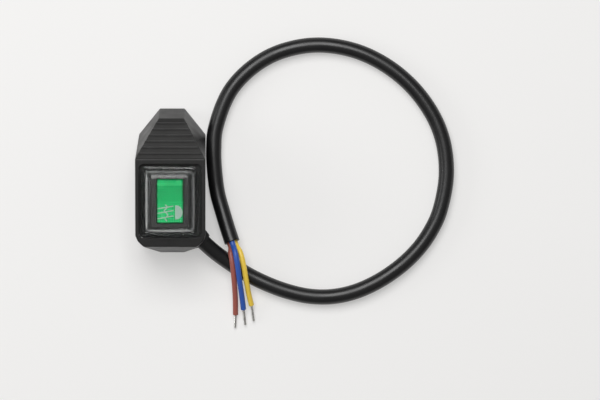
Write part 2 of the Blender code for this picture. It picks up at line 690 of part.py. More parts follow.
def led_lamp(switch):
    """A 3 mm lamp standing on its two leads under the rocker's printed end."""
    low, r = -6.6 * MM, 1.4 * MM
    dome = [(r * math.cos(math.radians(a)), low + 3.4 * MM + r * math.sin(math.radians(a))) for a in (0, 30, 60, 90)]
    dome[-1] = (0, dome[-1][1])
    profile = [(0, low), (1.6 * MM, low), (1.6 * MM, low + 0.8 * MM), (r, low + 0.8 * MM)] + dome
    body = lathe(profile, 16)
    lamp = add("led_lamp", body, "led_epoxy", switch, round_over=50)
    place = Matrix.Translation((0, -4.8 * MM, 0))
    lamp.matrix_local = place
    for x in (-1.27 * MM, 1.27 * MM):
        join(lamp, block((x - 0.22 * MM, x + 0.22 * MM), (-0.22 * MM, 0.22 * MM), (-9.9 * MM, low + 0.3 * MM)), matrix=place)
    return lamp


def led_resistor(switch):
    """An axial resistor whose leads bend from the lamp to the load terminal."""
    path = [
        (1.7, -4.8, -10.4), (3.0, -4.7, -10.2), (3.7, -4.2, -9.7), (3.7, -3.0, -9.6), (3.7, -2.9, -9.6),
        (3.7, -2.5, -9.6), (3.7, 0.3, -9.6), (3.7, 0.7, -9.6), (3.7, 0.8, -9.6), (3.7, 3.6, -9.6),
        (3.4, 5.2, -9.4), (2.9, 6.4, -9.4),
    ]
    thick = [0.24, 0.24, 0.24, 0.24, 0.6, 0.85, 0.85, 0.6, 0.24, 0.24, 0.24, 0.24]
    points = [Vector(p) * MM for p in path]
    return add("led_resistor", sweep(points, [t * MM for t in thick], 10), "resistor_coat", switch, round_over=50)


def solder_sleeve(name, switch, place):
    """Heat-shrink sleeve over a tab and the end of its core."""
    centre = (0, place * TAB_SPACING)
    flat, round_end = (5.8 * MM, 2.0 * MM), (3.1 * MM, 3.1 * MM)
    outer = [
        rounded_rect(flat, 0.9 * MM, -13.0 * MM, centre), rounded_rect(flat, 0.9 * MM, -18.6 * MM, centre),
        rounded_rect(round_end, 1.5 * MM, -19.8 * MM, centre), rounded_rect(round_end, 1.5 * MM, -20.6 * MM, centre),
    ]
    slot, bore = (5.1 * MM, 1.1 * MM), (2.4 * MM, 2.4 * MM)
    inner = [
        rounded_rect(slot, 0.12 * MM, -12 * MM, centre), rounded_rect(slot, 0.12 * MM, -18.5 * MM, centre),
        rounded_rect(bore, 1.15 * MM, -18.9 * MM, centre), rounded_rect(bore, 1.15 * MM, -22 * MM, centre),
    ]
    sleeve = add(name, loft(outer), "black_rubber", switch, round_over=40)
    return cut(sleeve, loft(inner))


# ---- cable ----------------------------------------------------------------------------------------


def cable_grommet(cable):
    """Rubber bush in the corner bore: a flange inside the pod and a short taper outside."""
    bore = CABLE_RADIUS + 0.3 * MM
    body = BORE_RADIUS - GAP
    profile = [
        (bore, -7.75 * MM), (4.3 * MM, -7.75 * MM), (4.3 * MM, -7.05 * MM), (body, -7.05 * MM),
        (body, -2.6 * MM), (bore + 0.35 * MM, -0.9 * MM), (bore, -0.9 * MM),
    ]
    return add("cable_grommet", lathe(profile, 24, ring=True), "black_rubber", cable, round_over=30)


def cable_tie(cable):
    """Nylon tie that stops the sheath being pulled out through the bush."""
    inner, outer = CABLE_RADIUS + 0.25 * MM, CABLE_RADIUS + 1.0 * MM
    low, high = -10.2 * MM, -8.0 * MM
    tie = add("cable_tie", lathe([(inner, low), (outer, low), (outer, high), (inner, high)], 24, ring=True),
              "black_rubber", cable)
    head = block((-1.9 * MM, 1.9 * MM), (CABLE_RADIUS + 0.5 * MM, CABLE_RADIUS + 3.2 * MM), (-10.4 * MM, -7.9 * MM))
    return join(tie, head)


def from_sheath(end, before, angle):
    """The first two points, in millimetres, of a core that leaves a sheath's end parallel to it."""
    direction = (end - before).normalized()
    side = direction.cross(Vector((0, 0, 1))).normalized()
    angle = math.radians(angle)
    start = end + CORD_GAP * direction + CORE_SPREAD * (math.cos(angle) * side + math.sin(angle) * side.cross(direction))
    return [start / MM, (start + 1.2 * MM * direction) / MM]


def cable_and_leads(switch):
    sheath = evenly(smooth_line(CABLE_ROUTE), CABLE_POINTS)
    cord("cable_sheath", sheath, CABLE_RADIUS, "cable_black")
    for colour, route in LEAD_ROUTES.items():
        line = evenly(smooth_line(from_sheath(sheath[-1], sheath[-2], LEAD_ANGLES[colour]) + route), 14)
        cord(f"lead_{colour}", line, CORE_RADIUS, f"core_{colour}")
        end, tip = line[-1], Vector(LEAD_TIPS[colour]) * MM
        start = end + (tip - end).normalized() * CORD_GAP
        cord(f"lead_tip_{colour}", [start, start.lerp(tip, 0.5), tip], TIP_RADIUS, "tinned_copper")
    for colour, route in INNER_CORES.items():
        # each core ends under its tab, in line with it
        tab = [switch.matrix_basis @ Vector((0, CORE_TABS[colour] * TAB_SPACING, z * MM)) / MM
               for z in (-22.9, -21.2, -19.1)]
        line = evenly(smooth_line(from_sheath(sheath[0], sheath[1], INNER_ANGLES[colour]) + route + tab), 16)
        cord(f"inner_core_{colour}", line, CORE_RADIUS, f"core_{colour}")


def main():
    clear_scene()
    switch = axis("switch_axis", switch_matrix())
    rocker = axis("rocker_axis", Matrix.Rotation(THROW, 4, "X"), switch)
    lever_place = Matrix.Translation((0, 0, LEVER_PIVOT)) @ Matrix.Rotation(-LEVER_RISE, 4, "X")
    lever = axis("lever_axis", lever_place, switch)
    cable = axis("cable_axis", cable_matrix())

    front_housing(switch, cable)
    back_cover()
    cover_gasket()
    for index, (x, y) in enumerate(COVER_SCREWS, 1):
        cover_screw(index, x, y)
    for index, (x, y) in enumerate(INSERTS, 1):
        mounting_insert(index, x, y)

    boot_cap(switch)
    switch_body(switch)
    rocker_button(rocker)
    rocker_plunger(rocker)
    plunger_spring(rocker)
    contact_lever(lever)
    terminals(switch)
    led_lamp(switch)
    led_resistor(switch)
    for name, place in (("supply", 0), ("load", 1), ("lamp", -1)):
        solder_sleeve(f"solder_sleeve_{name}", switch, place)

    cable_grommet(cable)
    cable_tie(cable)
    cable_and_leads(switch)


main()
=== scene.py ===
"""Look of a lighted rocker switch under a clear cap, in a wedge-shaped pod with a looped cable."""

import json
import math

import bmesh
import bpy
from mathutils import Matrix, Vector


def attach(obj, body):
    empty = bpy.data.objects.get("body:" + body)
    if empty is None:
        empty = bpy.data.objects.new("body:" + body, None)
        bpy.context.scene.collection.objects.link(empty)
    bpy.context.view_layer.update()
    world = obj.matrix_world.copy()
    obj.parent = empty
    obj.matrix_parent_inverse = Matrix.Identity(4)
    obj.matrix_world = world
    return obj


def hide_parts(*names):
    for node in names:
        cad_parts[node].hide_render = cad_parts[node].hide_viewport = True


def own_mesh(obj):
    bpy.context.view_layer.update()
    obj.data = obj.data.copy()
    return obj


MM = 0.001
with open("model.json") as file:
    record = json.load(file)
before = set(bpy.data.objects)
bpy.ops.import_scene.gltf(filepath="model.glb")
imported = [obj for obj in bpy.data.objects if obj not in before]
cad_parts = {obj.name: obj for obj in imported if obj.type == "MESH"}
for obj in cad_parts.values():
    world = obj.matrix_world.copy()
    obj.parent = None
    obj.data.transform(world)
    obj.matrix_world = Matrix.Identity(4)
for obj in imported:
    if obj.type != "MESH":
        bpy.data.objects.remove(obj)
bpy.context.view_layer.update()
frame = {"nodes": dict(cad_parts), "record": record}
scene = bpy.context.scene


# ---- node materials -------------------------------------------------------------------------------


class Surface:
    """A Principled material and short ways to feed its sockets from procedural textures."""

    def __init__(self, name, **values):
        self.mat = bpy.data.materials.new(name)
        self.mat.use_nodes = True
        self.tree = self.mat.node_tree
        self.shader = self.tree.nodes["Principled BSDF"]
        for key, value in values.items():
            self.shader.inputs[key.replace("_", " ")].default_value = value
        self.coords = self.tree.nodes.new("ShaderNodeTexCoord").outputs["Object"]

    def node(self, kind, inputs=(), **settings):
        made = self.tree.nodes.new("ShaderNode" + kind)
        for key, value in settings.items():
            setattr(made, key, value)
        for key, value in dict(inputs).items():
            if isinstance(value, bpy.types.NodeSocket):
                self.tree.links.new(value, made.inputs[key])
            else:
                made.inputs[key].default_value = value
        return made

    def noise(self, size, detail=3, coords=None):
        """Noise whose features are about size metres across."""
        inputs = {"Vector": coords or self.coords, "Scale": 1 / size, "Detail": detail}
        return self.node("TexNoise", inputs).outputs["Fac"]

    def stretched(self, scale):
        return self.node("Mapping", {"Vector": self.coords, "Scale": scale}).outputs["Vector"]

    def ramp(self, fac, low, high, start=0.0, end=1.0):
        """fac from start..end mapped to low..high."""
        inputs = {"Value": fac, "From Min": start, "From Max": end, "To Min": low, "To Max": high}
        return self.node("MapRange", inputs).outputs["Result"]

    def math(self, operation, a, b=0.0, c=0.0):
        return self.node("Math", {0: a, 1: b, 2: c}, operation=operation).outputs[0]

    def mix(self, fac, a, b):
        """A colour between a and b."""
        made = self.node("Mix", data_type="RGBA")
        for key, value in ((0, fac), (6, a), (7, b)):
            if isinstance(value, bpy.types.NodeSocket):
                self.tree.links.new(value, made.inputs[key])
            else:
                made.inputs[key].default_value = value if key == 0 else (*value[:3], 1)
        return made.outputs[2]

    def feed(self, socket, source):
        self.tree.links.new(source, self.shader.inputs[socket])

    def bump(self, *layers):
        """Stacks (height, depth in metres) layers into the normal."""
        normal = None
        for height, depth in layers:
            inputs = {"Height": height, "Distance": depth, "Strength": 1.0}
            if normal is not None:
                inputs["Normal"] = normal
            normal = self.node("Bump", inputs).outputs["Normal"]
        self.feed("Normal", normal)


# ---- camera and light -----------------------------------------------------------------------------

CAMERA_HEIGHT = 1.7
CAMERA_AT = (49.8 * MM, -7.7 * MM)
FRAME_WIDTH = 0.234
SENSOR_WIDTH = 36

# Soft boxes as (place, size, power), all turned to one point beside the pod
LIGHTS = {
    "key": ((-0.08, 0.42, 0.95), (0.65, 0.65), 8.3),
    "side": ((-0.9, 0.1, 0.45), (0.5, 0.4), 2.0),
}
LIGHT_TARGET = Vector((0.03, 0.0, 0.0))
WARM_WHITE = (1.0, 0.995, 0.985)
FLOOR_HALF_SIZE, FLOOR_DROP, FLOOR_GLOW = 3.0, 0.2 * MM, 0.4

# How bright the room is, as (sine of the height above the horizon, share of the strength)
SKY = [(0.0, 0.55), (0.3, 0.6), (0.6, 0.75), (0.85, 1.0), (0.97, 0.9)]
SKY_STRENGTH = 0.3


def camera():
    data = bpy.data.cameras.new("camera")
    data.sensor_width = SENSOR_WIDTH
    data.lens = SENSOR_WIDTH * CAMERA_HEIGHT / FRAME_WIDTH
    data.clip_start, data.clip_end = 0.01, 20
    obj = bpy.data.objects.new("camera", data)
    obj.location = (*CAMERA_AT, CAMERA_HEIGHT)
    scene.collection.objects.link(obj)
    scene.camera = obj


def area_light(name, at, size, power):
    data = bpy.data.lights.new(name, "AREA")
    data.shape = "RECTANGLE"
    data.size, data.size_y = size
    data.energy = power
    obj = bpy.data.objects.new(name, data)
    obj.location = at
    obj.rotation_euler = (LIGHT_TARGET - Vector(at)).to_track_quat("-Z", "Y").to_euler()
    scene.collection.objects.link(obj)


def studio():
    """A dim room, two soft boxes, and a pale floor that glows a little like a light table."""
    scene.view_settings.view_transform = "Standard"
    world = bpy.data.worlds.new("studio")
    world.use_nodes = True
    nodes, links = world.node_tree.nodes, world.node_tree.links
    place = nodes.new("ShaderNodeTexCoord")
    split = nodes.new("ShaderNodeSeparateXYZ")
    sky = nodes.new("ShaderNodeValToRGB")
    links.new(place.outputs["Generated"], split.inputs[0])
    links.new(split.outputs["Z"], sky.inputs["Fac"])
    links.new(sky.outputs["Color"], nodes["Background"].inputs["Color"])
    nodes["Background"].inputs["Strength"].default_value = SKY_STRENGTH
    ramp = sky.color_ramp
    for _ in range(len(SKY) - len(ramp.elements)):
        ramp.elements.new(0.5)
    for element, (height, level) in zip(ramp.elements, SKY):
        element.position = height
        element.color = (*(level * share for share in WARM_WHITE), 1)
    scene.world = world
    for name, (at, size, power) in LIGHTS.items():
        area_light(name, at, size, power)

    bm = bmesh.new()
    bmesh.ops.create_grid(bm, x_segments=1, y_segments=1, size=FLOOR_HALF_SIZE)
    floor = new_object("floor", bm)
    floor.location.z = -FLOOR_DROP
    base = (0.5, 0.495, 0.49, 1)
    paper = Surface("floor_paper", Roughness=0.9, Base_Color=base, Specular_IOR_Level=0.0)
    paper.shader.inputs["Emission Color"].default_value = (*WARM_WHITE, 1)
    paper.shader.inputs["Emission Strength"].default_value = FLOOR_GLOW
    paper.bump((paper.noise(1.2 * MM), 0.02 * MM))
    floor.data.materials.append(paper.mat)


# ---- mesh tools -----------------------------------------------------------------------------------

MERGE, SLIVER = 0.002 * MM, 0.001 * MM  # how close Boolean leftovers have to be, to be cleaned away
CUT_MERGE = 0.02 * MM


def new_object(name, bm):
    bmesh.ops.recalc_face_normals(bm, faces=bm.faces[:])
    mesh = bpy.data.meshes.new(name)
    bm.to_mesh(mesh)
    bm.free()
    obj = bpy.data.objects.new(name, mesh)
    scene.collection.objects.link(obj)
    return obj


def piece(name, bm, surface, body, replaces=(), smooth=35):
    """A shown piece: smooth is the angle in degrees above which an edge stays sharp."""
    obj = new_object(name, bm)
    obj.data.shade_smooth()
    obj.data.set_sharp_from_angle(angle=math.radians(smooth))
    obj.data.materials.clear()
    obj.data.materials.append(surface.mat)
    flat = obj.modifiers.new("flat_faces", "WEIGHTED_NORMAL")
    flat.keep_sharp = True
    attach(obj, body)
    for node in replaces:
        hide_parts(node)
    return obj


def carve(bm, steps):
    """bm after a chain of (operation, tool) Booleans."""
    work = new_object("work", bm)
    tools = [new_object("tool", tool) for _, tool in steps]
    for tool, (operation, _) in zip(tools, steps):
        modifier = work.modifiers.new("cut", "BOOLEAN")
        modifier.operation = operation
        modifier.solver = "EXACT"
        modifier.object = tool
    depsgraph = bpy.context.evaluated_depsgraph_get()
    shape = bpy.data.meshes.new_from_object(work.evaluated_get(depsgraph))
    result = bmesh.new()
    result.from_mesh(shape)
    for obj in (work, *tools):
        mesh = obj.data
        bpy.data.objects.remove(obj)
        bpy.data.meshes.remove(mesh)
    bpy.data.meshes.remove(shape)
    bmesh.ops.remove_doubles(result, verts=result.verts, dist=MERGE)
    bmesh.ops.dissolve_degenerate(result, edges=result.edges[:], dist=SLIVER)
    return result


def loft(sections, ring=False):
    """Rings of equal count joined into a closed solid. A ring loft closes on its first section."""
    bm = bmesh.new()
    rings = [[bm.verts.new(p) for p in section] for section in sections]
    count = len(rings[0])
    pairs = list(zip(rings, rings[1:])) + ([(rings[-1], rings[0])] if ring else [])
    for low, high in pairs:
        for i in range(count):
            j = (i + 1) % count
            bm.faces.new((low[i], low[j], high[j], high[i]))
    if not ring:
        bm.faces.new(reversed(rings[0]))
        bm.faces.new(rings[-1])
    return bm


def rounded_rect(size, corner, height, steps=8, bulge=0.0, along=10):
    """A rectangle's outline with round corners and sides that bow out by bulge, size (x, y)."""
    half = (size[0] / 2 - corner, size[1] / 2 - corner)

    def on_corner(quarter, angle):
        sx, sy = ((1, 1), (-1, 1), (-1, -1), (1, -1))[quarter % 4]
        return sx * half[0] + corner * math.cos(angle), sy * half[1] + corner * math.sin(angle)

    points = []
    for quarter in range(4):
        for step in range(steps + 1):
            points.append(on_corner(quarter, math.pi / 2 * (quarter + step / steps)))
        ax, ay = points[-1]
        bx, by = on_corner(quarter + 1, math.pi / 2 * (quarter + 1))
        for step in range(1, along):
            points.append((ax + (bx - ax) * step / along, ay + (by - ay) * step / along))
    bowed = []
    for x, y in points:
        u, v = x / (size[0] / 2), y / (size[1] / 2)
        bowed.append((x + bulge * u * (1 - v * v), y + bulge * v * (1 - u * u), height))
    return bowed


def cross_prism(outline, half_width):
    """An outline in the YZ plane, extruded both ways along X."""
    return loft([[(x, y, z) for y, z in outline] for x in (-half_width, half_width)])


def cylinder(radius, low, high, sides):
    """An upright cylinder about the origin."""
    turns = [2 * math.pi * i / sides for i in range(sides)]
    rim = [(radius * math.cos(t), radius * math.sin(t)) for t in turns]
    return loft([[(x, y, z) for x, y in rim] for z in (low, high)])


def lathe(profile, sides=48):
    """A closed (radius, height) profile turned about Z, as a ring."""
    turns = [2 * math.pi * i / sides for i in range(sides)]
    sections = [[(r * math.cos(t), r * math.sin(t), z) for r, z in profile] for t in turns]
    return loft(sections, ring=True)


def fillet(outline, radius, steps=4):
    """A closed 2-D outline with every corner rounded to at most radius."""
    rounded, count = [], len(outline)
    for i in range(count):
        before, corner, after = (Vector(outline[(i + k) % count]) for k in (-1, 0, 1))
        into, out = (before - corner), (after - corner)
        half = into.angle(out) / 2
        reach = min(radius / math.tan(half), into.length * 0.4, out.length * 0.4)
        a, b = corner + into.normalized() * reach, corner + out.normalized() * reach
        for step in range(steps + 1):
            t = step / steps
            rounded.append(tuple(a.lerp(corner, t).lerp(corner.lerp(b, t), t)))
    return rounded


def moved(bm, matrix):
    bm.transform(matrix)
    return bm


def plane(a, b, c, inset):
    """The plane through three points, moved towards the inside of the pod."""
    a, b, c = Vector(a), Vector(b), Vector(c)
    normal = (b - a).cross(c - a).normalized()
    if (Vector((0, 0, RIDGE_Z)) - a).dot(normal) > 0:
        normal = -normal
    return a - normal * inset, normal


def convex(planes):
    """The solid inside a list of planes, each (point, outward normal)."""
    bm = bmesh.new()
    bmesh.ops.create_cube(bm, size=0.2)
    for point, normal in planes:
        everything = bm.verts[:] + bm.edges[:] + bm.faces[:]
        bmesh.ops.bisect_plane(
            bm, geom=everything, plane_co=point, plane_no=normal, clear_outer=True)
        bmesh.ops.edgeloop_fill(bm, edges=[e for e in bm.edges if e.is_boundary])
        bmesh.ops.remove_doubles(bm, verts=bm.verts, dist=CUT_MERGE)
    return bm


def smooth_line(route, fine=16):
    """Points on a centripetal Catmull-Rom curve through a route given in millimetres."""
    knots = [Vector(p) * MM for p in route]
    knots = [2 * knots[0] - knots[1], *knots, 2 * knots[-1] - knots[-2]]
    line = []
    for a, b, c, d in zip(knots, knots[1:], knots[2:], knots[3:]):
        t1 = (b - a).length ** 0.5
        t2 = t1 + (c - b).length ** 0.5
        t3 = t2 + (d - c).length ** 0.5
        for step in range(fine):
            t = t1 + (t2 - t1) * step / fine
            ab = a.lerp(b, t / t1)
            bc = b.lerp(c, (t - t1) / (t2 - t1))
            cd = c.lerp(d, (t - t2) / (t3 - t2))
            first, second = ab.lerp(bc, t / t2), bc.lerp(cd, (t - t1) / (t3 - t1))
            line.append(first.lerp(second, (t - t1) / (t2 - t1)))
    line.append(knots[-2])
    return line


def evenly(line, count):
    """The same line, as count points evenly spaced along it."""
    reach = [0.0]
    for a, b in zip(line, line[1:]):
        reach.append(reach[-1] + (b - a).length)
    points, segment = [], 0
    for i in range(count):
        at = reach[-1] * i / (count - 1)
        while segment < len(line) - 2 and reach[segment + 1] < at:
            segment += 1
        share = (at - reach[segment]) / (reach[segment + 1] - reach[segment])
        points.append(line[segment].lerp(line[segment + 1], share))
    return points


def rings_along(points, radii, sides):
    """Rings of radius radii[i] round points[i], square to the line."""
    ahead = [(b - a).normalized() for a, b in zip(points, points[1:])]
    between = [(a + b).normalized() for a, b in zip(ahead, ahead[1:])]
    tangents = [ahead[0], *between, ahead[-1]]
    side = Vector((0.1, 0.2, 1.0)).normalized()
    turns = [2 * math.pi * i / sides for i in range(sides)]
    rings = []
    for point, tangent, radius in zip(points, tangents, radii):
        side = (side - tangent * side.dot(tangent)).normalized()
        up = tangent.cross(side)
        rings.append([point + radius * (math.cos(t) * side + math.sin(t) * up) for t in turns])
    return rings


def soft_end(points, radius, edge):
    """Points and radii of a tube whose far end is rounded over by edge."""
    line, radii = list(points), [radius] * len(points)
    direction = (line[-1] - line[-2]).normalized()
    tip = line[-1]
    line[-1] = tip - direction * edge
    for angle in (30, 60, 90):
        turn = math.radians(angle)
        line.append(tip - direction * edge * (1 - math.sin(turn)))
        radii.append(radius - edge * (1 - math.cos(turn)))
    return line, radii


# ---- materials ------------------------------------------------------------------------------------


def moulded(name, colour, roughness, grain=0.12 * MM, depth=0.004 * MM, wear=0.02):
    """Moulded plastic or rubber: a fine grain, patchy gloss and a few pale rubs."""
    made = Surface(name, Base_Color=(*colour, 1), Roughness=roughness)
    patches = made.noise(6 * MM, 4)
    rubs = made.ramp(made.noise(1.6 * MM, 6, coords=made.stretched((1, 0.35, 1))), 0.0, 1.0, 0.62, 0.8)
    pale = tuple(c + wear for c in colour)
    made.feed("Base Color", made.mix(rubs, colour, pale))
    made.feed("Roughness", made.ramp(patches, roughness - 0.05, roughness + 0.07, 0.3, 0.7))
    made.bump((made.noise(grain, 2), depth), (patches, 0.01 * MM))
    return made


def metal(name, colour, roughness, streak=(1, 1, 8)):
    """Bright metal with drawn or turned streaks and a little tarnish."""
    made = Surface(name, Base_Color=(*colour, 1), Roughness=roughness, Metallic=1.0)
    streaks = made.noise(0.2 * MM, 3, coords=made.stretched(streak))
    tarnish = made.ramp(made.noise(1.5 * MM, 4), 0.0, 1.0, 0.45, 0.75)
    made.feed("Base Color", made.mix(tarnish, colour, tuple(c * 0.72 for c in colour)))
    made.feed("Roughness", made.ramp(streaks, roughness - 0.06, roughness + 0.12, 0.3, 0.7))
    made.bump((streaks, 0.004 * MM))
    return made


def core_pvc(name, colour):
    """Smooth wire insulation with faint drawing marks along it."""
    made = Surface(name, Base_Color=(*colour, 1), Roughness=0.38)
    marks = made.noise(0.4 * MM, 3, coords=made.stretched((3, 0.25, 1)))
    dark = tuple(c * 0.7 for c in colour)
    made.feed("Base Color", made.mix(made.ramp(marks, 0.0, 0.5, 0.3, 0.8), colour, dark))
    made.feed("Roughness", made.ramp(marks, 0.32, 0.46, 0.3, 0.7))
    made.bump((marks, 0.008 * MM))
    return made


LENS_CELL = 0.9 * MM
LENS_SIDE_SHADE = (4.55 * MM, 4.95 * MM)  # where painted shade darkens the lens towards the rocker's sides


def lens_plastic():
    """Translucent green with a fine square lens grid in it, a faint painted glow, and painted shade at
    its side margins.
    """
    deep, bright, shaded = (0.003, 0.3, 0.07), (0.03, 0.98, 0.3), (0.01, 0.1, 0.035)
    made = Surface("green_lens_moulding", Base_Color=(*deep, 1), Roughness=0.22)
    # A faint painted glow over the whole lens, brightening the green
    made.shader.inputs["Emission Color"].default_value = (0.02, 0.5, 0.16, 1)
    made.shader.inputs["Emission Strength"].default_value = 0.1
    split = made.node("SeparateXYZ", {0: made.coords}).outputs
    ridges = []
    for axis in ("X", "Y"):
        turn = made.math("MULTIPLY", split[axis], math.pi / LENS_CELL)
        ridges.append(made.math("ABSOLUTE", made.math("SINE", turn)))
    grid = made.ramp(made.math("MINIMUM", *ridges), 0.0, 1.0, 0.05, 0.6)
    cloud = made.noise(2.5 * MM, 3)
    glow = made.math("MULTIPLY_ADD", cloud, 0.3, made.math("MULTIPLY", grid, 0.8))
    # Painted shade: the green turns to a darker shaded tone towards the rocker's sides
    side = made.ramp(made.math("ABSOLUTE", split["X"]), 0.0, 1.0, *LENS_SIDE_SHADE)
    made.feed("Base Color", made.mix(side, made.mix(glow, deep, bright), shaded))
    made.feed("Roughness", made.ramp(cloud, 0.18, 0.3, 0.3, 0.7))
    made.bump((grid, 0.012 * MM), (cloud, 0.006 * MM))
    return made


def clear_dome():
    """Clear soft silicone with a faint haze."""
    base = (0.9, 0.92, 0.915, 1)
    made = Surface("clear_dome", Base_Color=base, Roughness=0.1, IOR=1.35, Transmission_Weight=1.0)
    haze = made.noise(2.2 * MM, 4)
    made.feed("Roughness", made.ramp(haze, 0.07, 0.14, 0.35, 0.7))
    made.bump((haze, 0.006 * MM))
    return made


def sign_ink():
    """Pale printing ink, a little patchy over the green."""
    made = Surface("sign_ink", Base_Color=(0.5, 0.7, 0.6, 1), Roughness=0.45)
    patchy = made.noise(0.7 * MM, 4)
    made.feed("Base Color", made.mix(patchy, (0.42, 0.68, 0.54), (0.6, 0.76, 0.68)))
    made.bump((patchy, 0.005 * MM))
    return made


def cable_pvc():
    """Extruded black PVC: slightly wavy, with long drawing marks and dust."""
    made = Surface("cable_pvc", Base_Color=(0.007, 0.007, 0.0075, 1), Roughness=0.36)
    waves, marks = made.noise(9 * MM, 2), made.noise(0.5 * MM, 4)
    dust = made.ramp(marks, 0.0, 0.6, 0.5, 0.8)
    made.feed("Base Color", made.mix(dust, (0.006, 0.006, 0.0065), (0.018, 0.0175, 0.017)))
    made.feed("Roughness", made.ramp(waves, 0.29, 0.39, 0.3, 0.7))
    made.bump((waves, 0.06 * MM), (marks, 0.006 * MM))
    return made


# ---- cable, leads and tips ------------------------------------------------------------------------

# The cable and its leads, in millimetres, as the model lays them
CABLE_ROUTE = [
    (5.6, -17.4, 9.0), (9.2, -20.95, 8.2), (12.8, -24.5, 7.2), (16.5, -27.8, 5.9),
    (20.9, -31.1, 4.4), (28.9, -36.4, 3.1), (37.3, -40.5, 3.05), (45.5, -43.45, 3.05),
    (53.8, -45.2, 3.05), (62.3, -45.3, 3.05), (70.6, -43.6, 3.05), (78.2, -40.45, 3.05),
    (85.1, -36.3, 3.05), (91.3, -31.4, 3.05), (96.75, -25.6, 3.05), (101.05, -19.1, 3.05),
    (104.2, -12.0, 3.05), (106.8, 3.15, 3.05), (104.5, 18.5, 3.05), (97.0, 32.15, 3.05),
    (85.5, 43.2, 3.05), (70.75, 50.55, 3.05), (53.7, 52.5, 3.05), (36.75, 47.6, 3.05),
    (23.4, 35.9, 3.05), (16.95, 20.3, 3.05), (16.25, 12.6, 3.05), (16.35, 6.5, 3.05),
    (17.6, -4.6, 3.2), (19.6, -12.0, 4.1), (21.8, -19.2, 5.3), (23.4, -24.0, 6.2),
]
LEAD_ROUTES = {  # from just outside the sheath's free end
    "brown": [(22.9, -28.2, 7.6), (23.5, -32.0, 8.2), (24.1, -37.6, 7.4), (24.6, -45.0, 4.4),
              (24.7, -52.4, 1.8)],
    "blue": [(24.7, -28.2, 9.5), (25.5, -32.6, 9.6), (26.4, -39.4, 7.8), (27.2, -45.0, 4.9),
             (27.8, -50.3, 2.5)],
    "yellow": [(26.6, -28.0, 7.6), (27.8, -32.6, 8.0), (29.0, -39.4, 6.6), (29.9, -44.4, 4.4),
               (30.9, -48.7, 2.5)],
}
LEAD_TIPS = {"brown": (24.5, -57.5, 0.9), "blue": (28.5, -56.4, 1.0), "yellow": (31.8, -54.9, 1.0)}
CABLE_RADIUS = 3.0 * MM
CABLE_POINTS, CABLE_SIDES = 300, 40
JACKET_WALL = 0.6 * MM
JACKET_EDGE, JACKET_LIP, JACKET_HOLLOW = 0.25 * MM, 0.12 * MM, 2.4 * MM
CORE_RADIUS = 1.05 * MM
CORE_POINTS, CORE_SIDES = 60, 28
CORE_SPREAD = 1.28 * MM
CORE_ROOT, CORE_GAP, CORE_STRAIGHT = 2.2 * MM, 0.5 * MM, 1.2 * MM
LEAD_ANGLES = {"brown": 330, "blue": 90, "yellow": 210}
LEAD_COLOURS = {
    "brown": (0.36, 0.1, 0.075), "blue": (0.03, 0.105, 0.46), "yellow": (0.95, 0.66, 0.08),
}
TIP_OVERLAP = 0.4 * MM
WIRES_AROUND, WIRE_RADIUS, WIRE_SPREAD = 6, 0.19 * MM, 0.345 * MM
WIRE_STEPS, WIRE_LAY = 28, 0.9


def exit_frame():
    """The cable's exit from the pod, with Z out along the cable."""
    exit_point, inside = Vector(CABLE_ROUTE[2]) * MM, Vector(CABLE_ROUTE[0]) * MM
    turn = (exit_point - inside).to_track_quat("Z", "Y").to_matrix().to_4x4()
    return Matrix.Translation(exit_point) @ turn


def cable_jacket(line):
    """The sheath, with a lip and a hollow at its free end."""
    inwards, radii = soft_end(line, CABLE_RADIUS, JACKET_EDGE)
    direction = (line[-1] - line[-2]).normalized()
    inwards += [inwards[-1] - direction * depth for depth in (JACKET_LIP, JACKET_HOLLOW)]
    radii += [CABLE_RADIUS - JACKET_WALL] * 2
    sections = rings_along(line, [CABLE_RADIUS] * len(line), CABLE_SIDES)
    offsets = [(p - line[-1]) / CABLE_RADIUS for p in sections[-1]]
    for point, radius in list(zip(inwards, radii))[len(line) - 1:]:
        sections.append([point + offset * radius for offset in offsets])
    return loft(sections)


def lead_line(line, colour, route):
    """From inside the sheath's hollow to the stripped end, spreading from the cable's axis."""
    end = line[-1]
    direction = (end - line[-2]).normalized()
    side = direction.cross(Vector((0, 0, 1))).normalized()
    angle = math.radians(LEAD_ANGLES[colour])
    offset = CORE_SPREAD * (math.cos(angle) * side + math.sin(angle) * side.cross(direction))
    places = (-CORE_ROOT, CORE_GAP, CORE_GAP + CORE_STRAIGHT)
    starts = [end + offset + direction * at for at in places]
    return evenly(smooth_line([tuple(p / MM) for p in starts] + route), CORE_POINTS)


def strands(start, tip):
    """A tinned bundle: six strands laid round one, drawn in a little at the tip."""
    bm = bmesh.new()
    direction = tip - start
    side = direction.cross(Vector((0, 0, 1))).normalized()
    up = side.cross(direction).normalized()
    for strand in range(WIRES_AROUND + 1):
        share = 0.985 if strand % 2 else 1.0
        points = []
        for step in range(WIRE_STEPS + 1):
            t = step / WIRE_STEPS
            angle = 2 * math.pi * (strand / WIRES_AROUND + WIRE_LAY * t)
            drawn_in = 1 - 0.12 * max(0.0, t - 0.8) / 0.2
            reach = 0 if strand == WIRES_AROUND else WIRE_SPREAD * drawn_in
            around = reach * (math.cos(angle) * side + math.sin(angle) * up)
            points.append(start.lerp(tip, t * share) + around)
        part = loft(rings_along(*soft_end(points, WIRE_RADIUS, 0.1 * MM), 10))
        mesh = bpy.data.meshes.new("strand")
        part.to_mesh(mesh)
        part.free()
        bm.from_mesh(mesh)
        bpy.data.meshes.remove(mesh)
    return bm


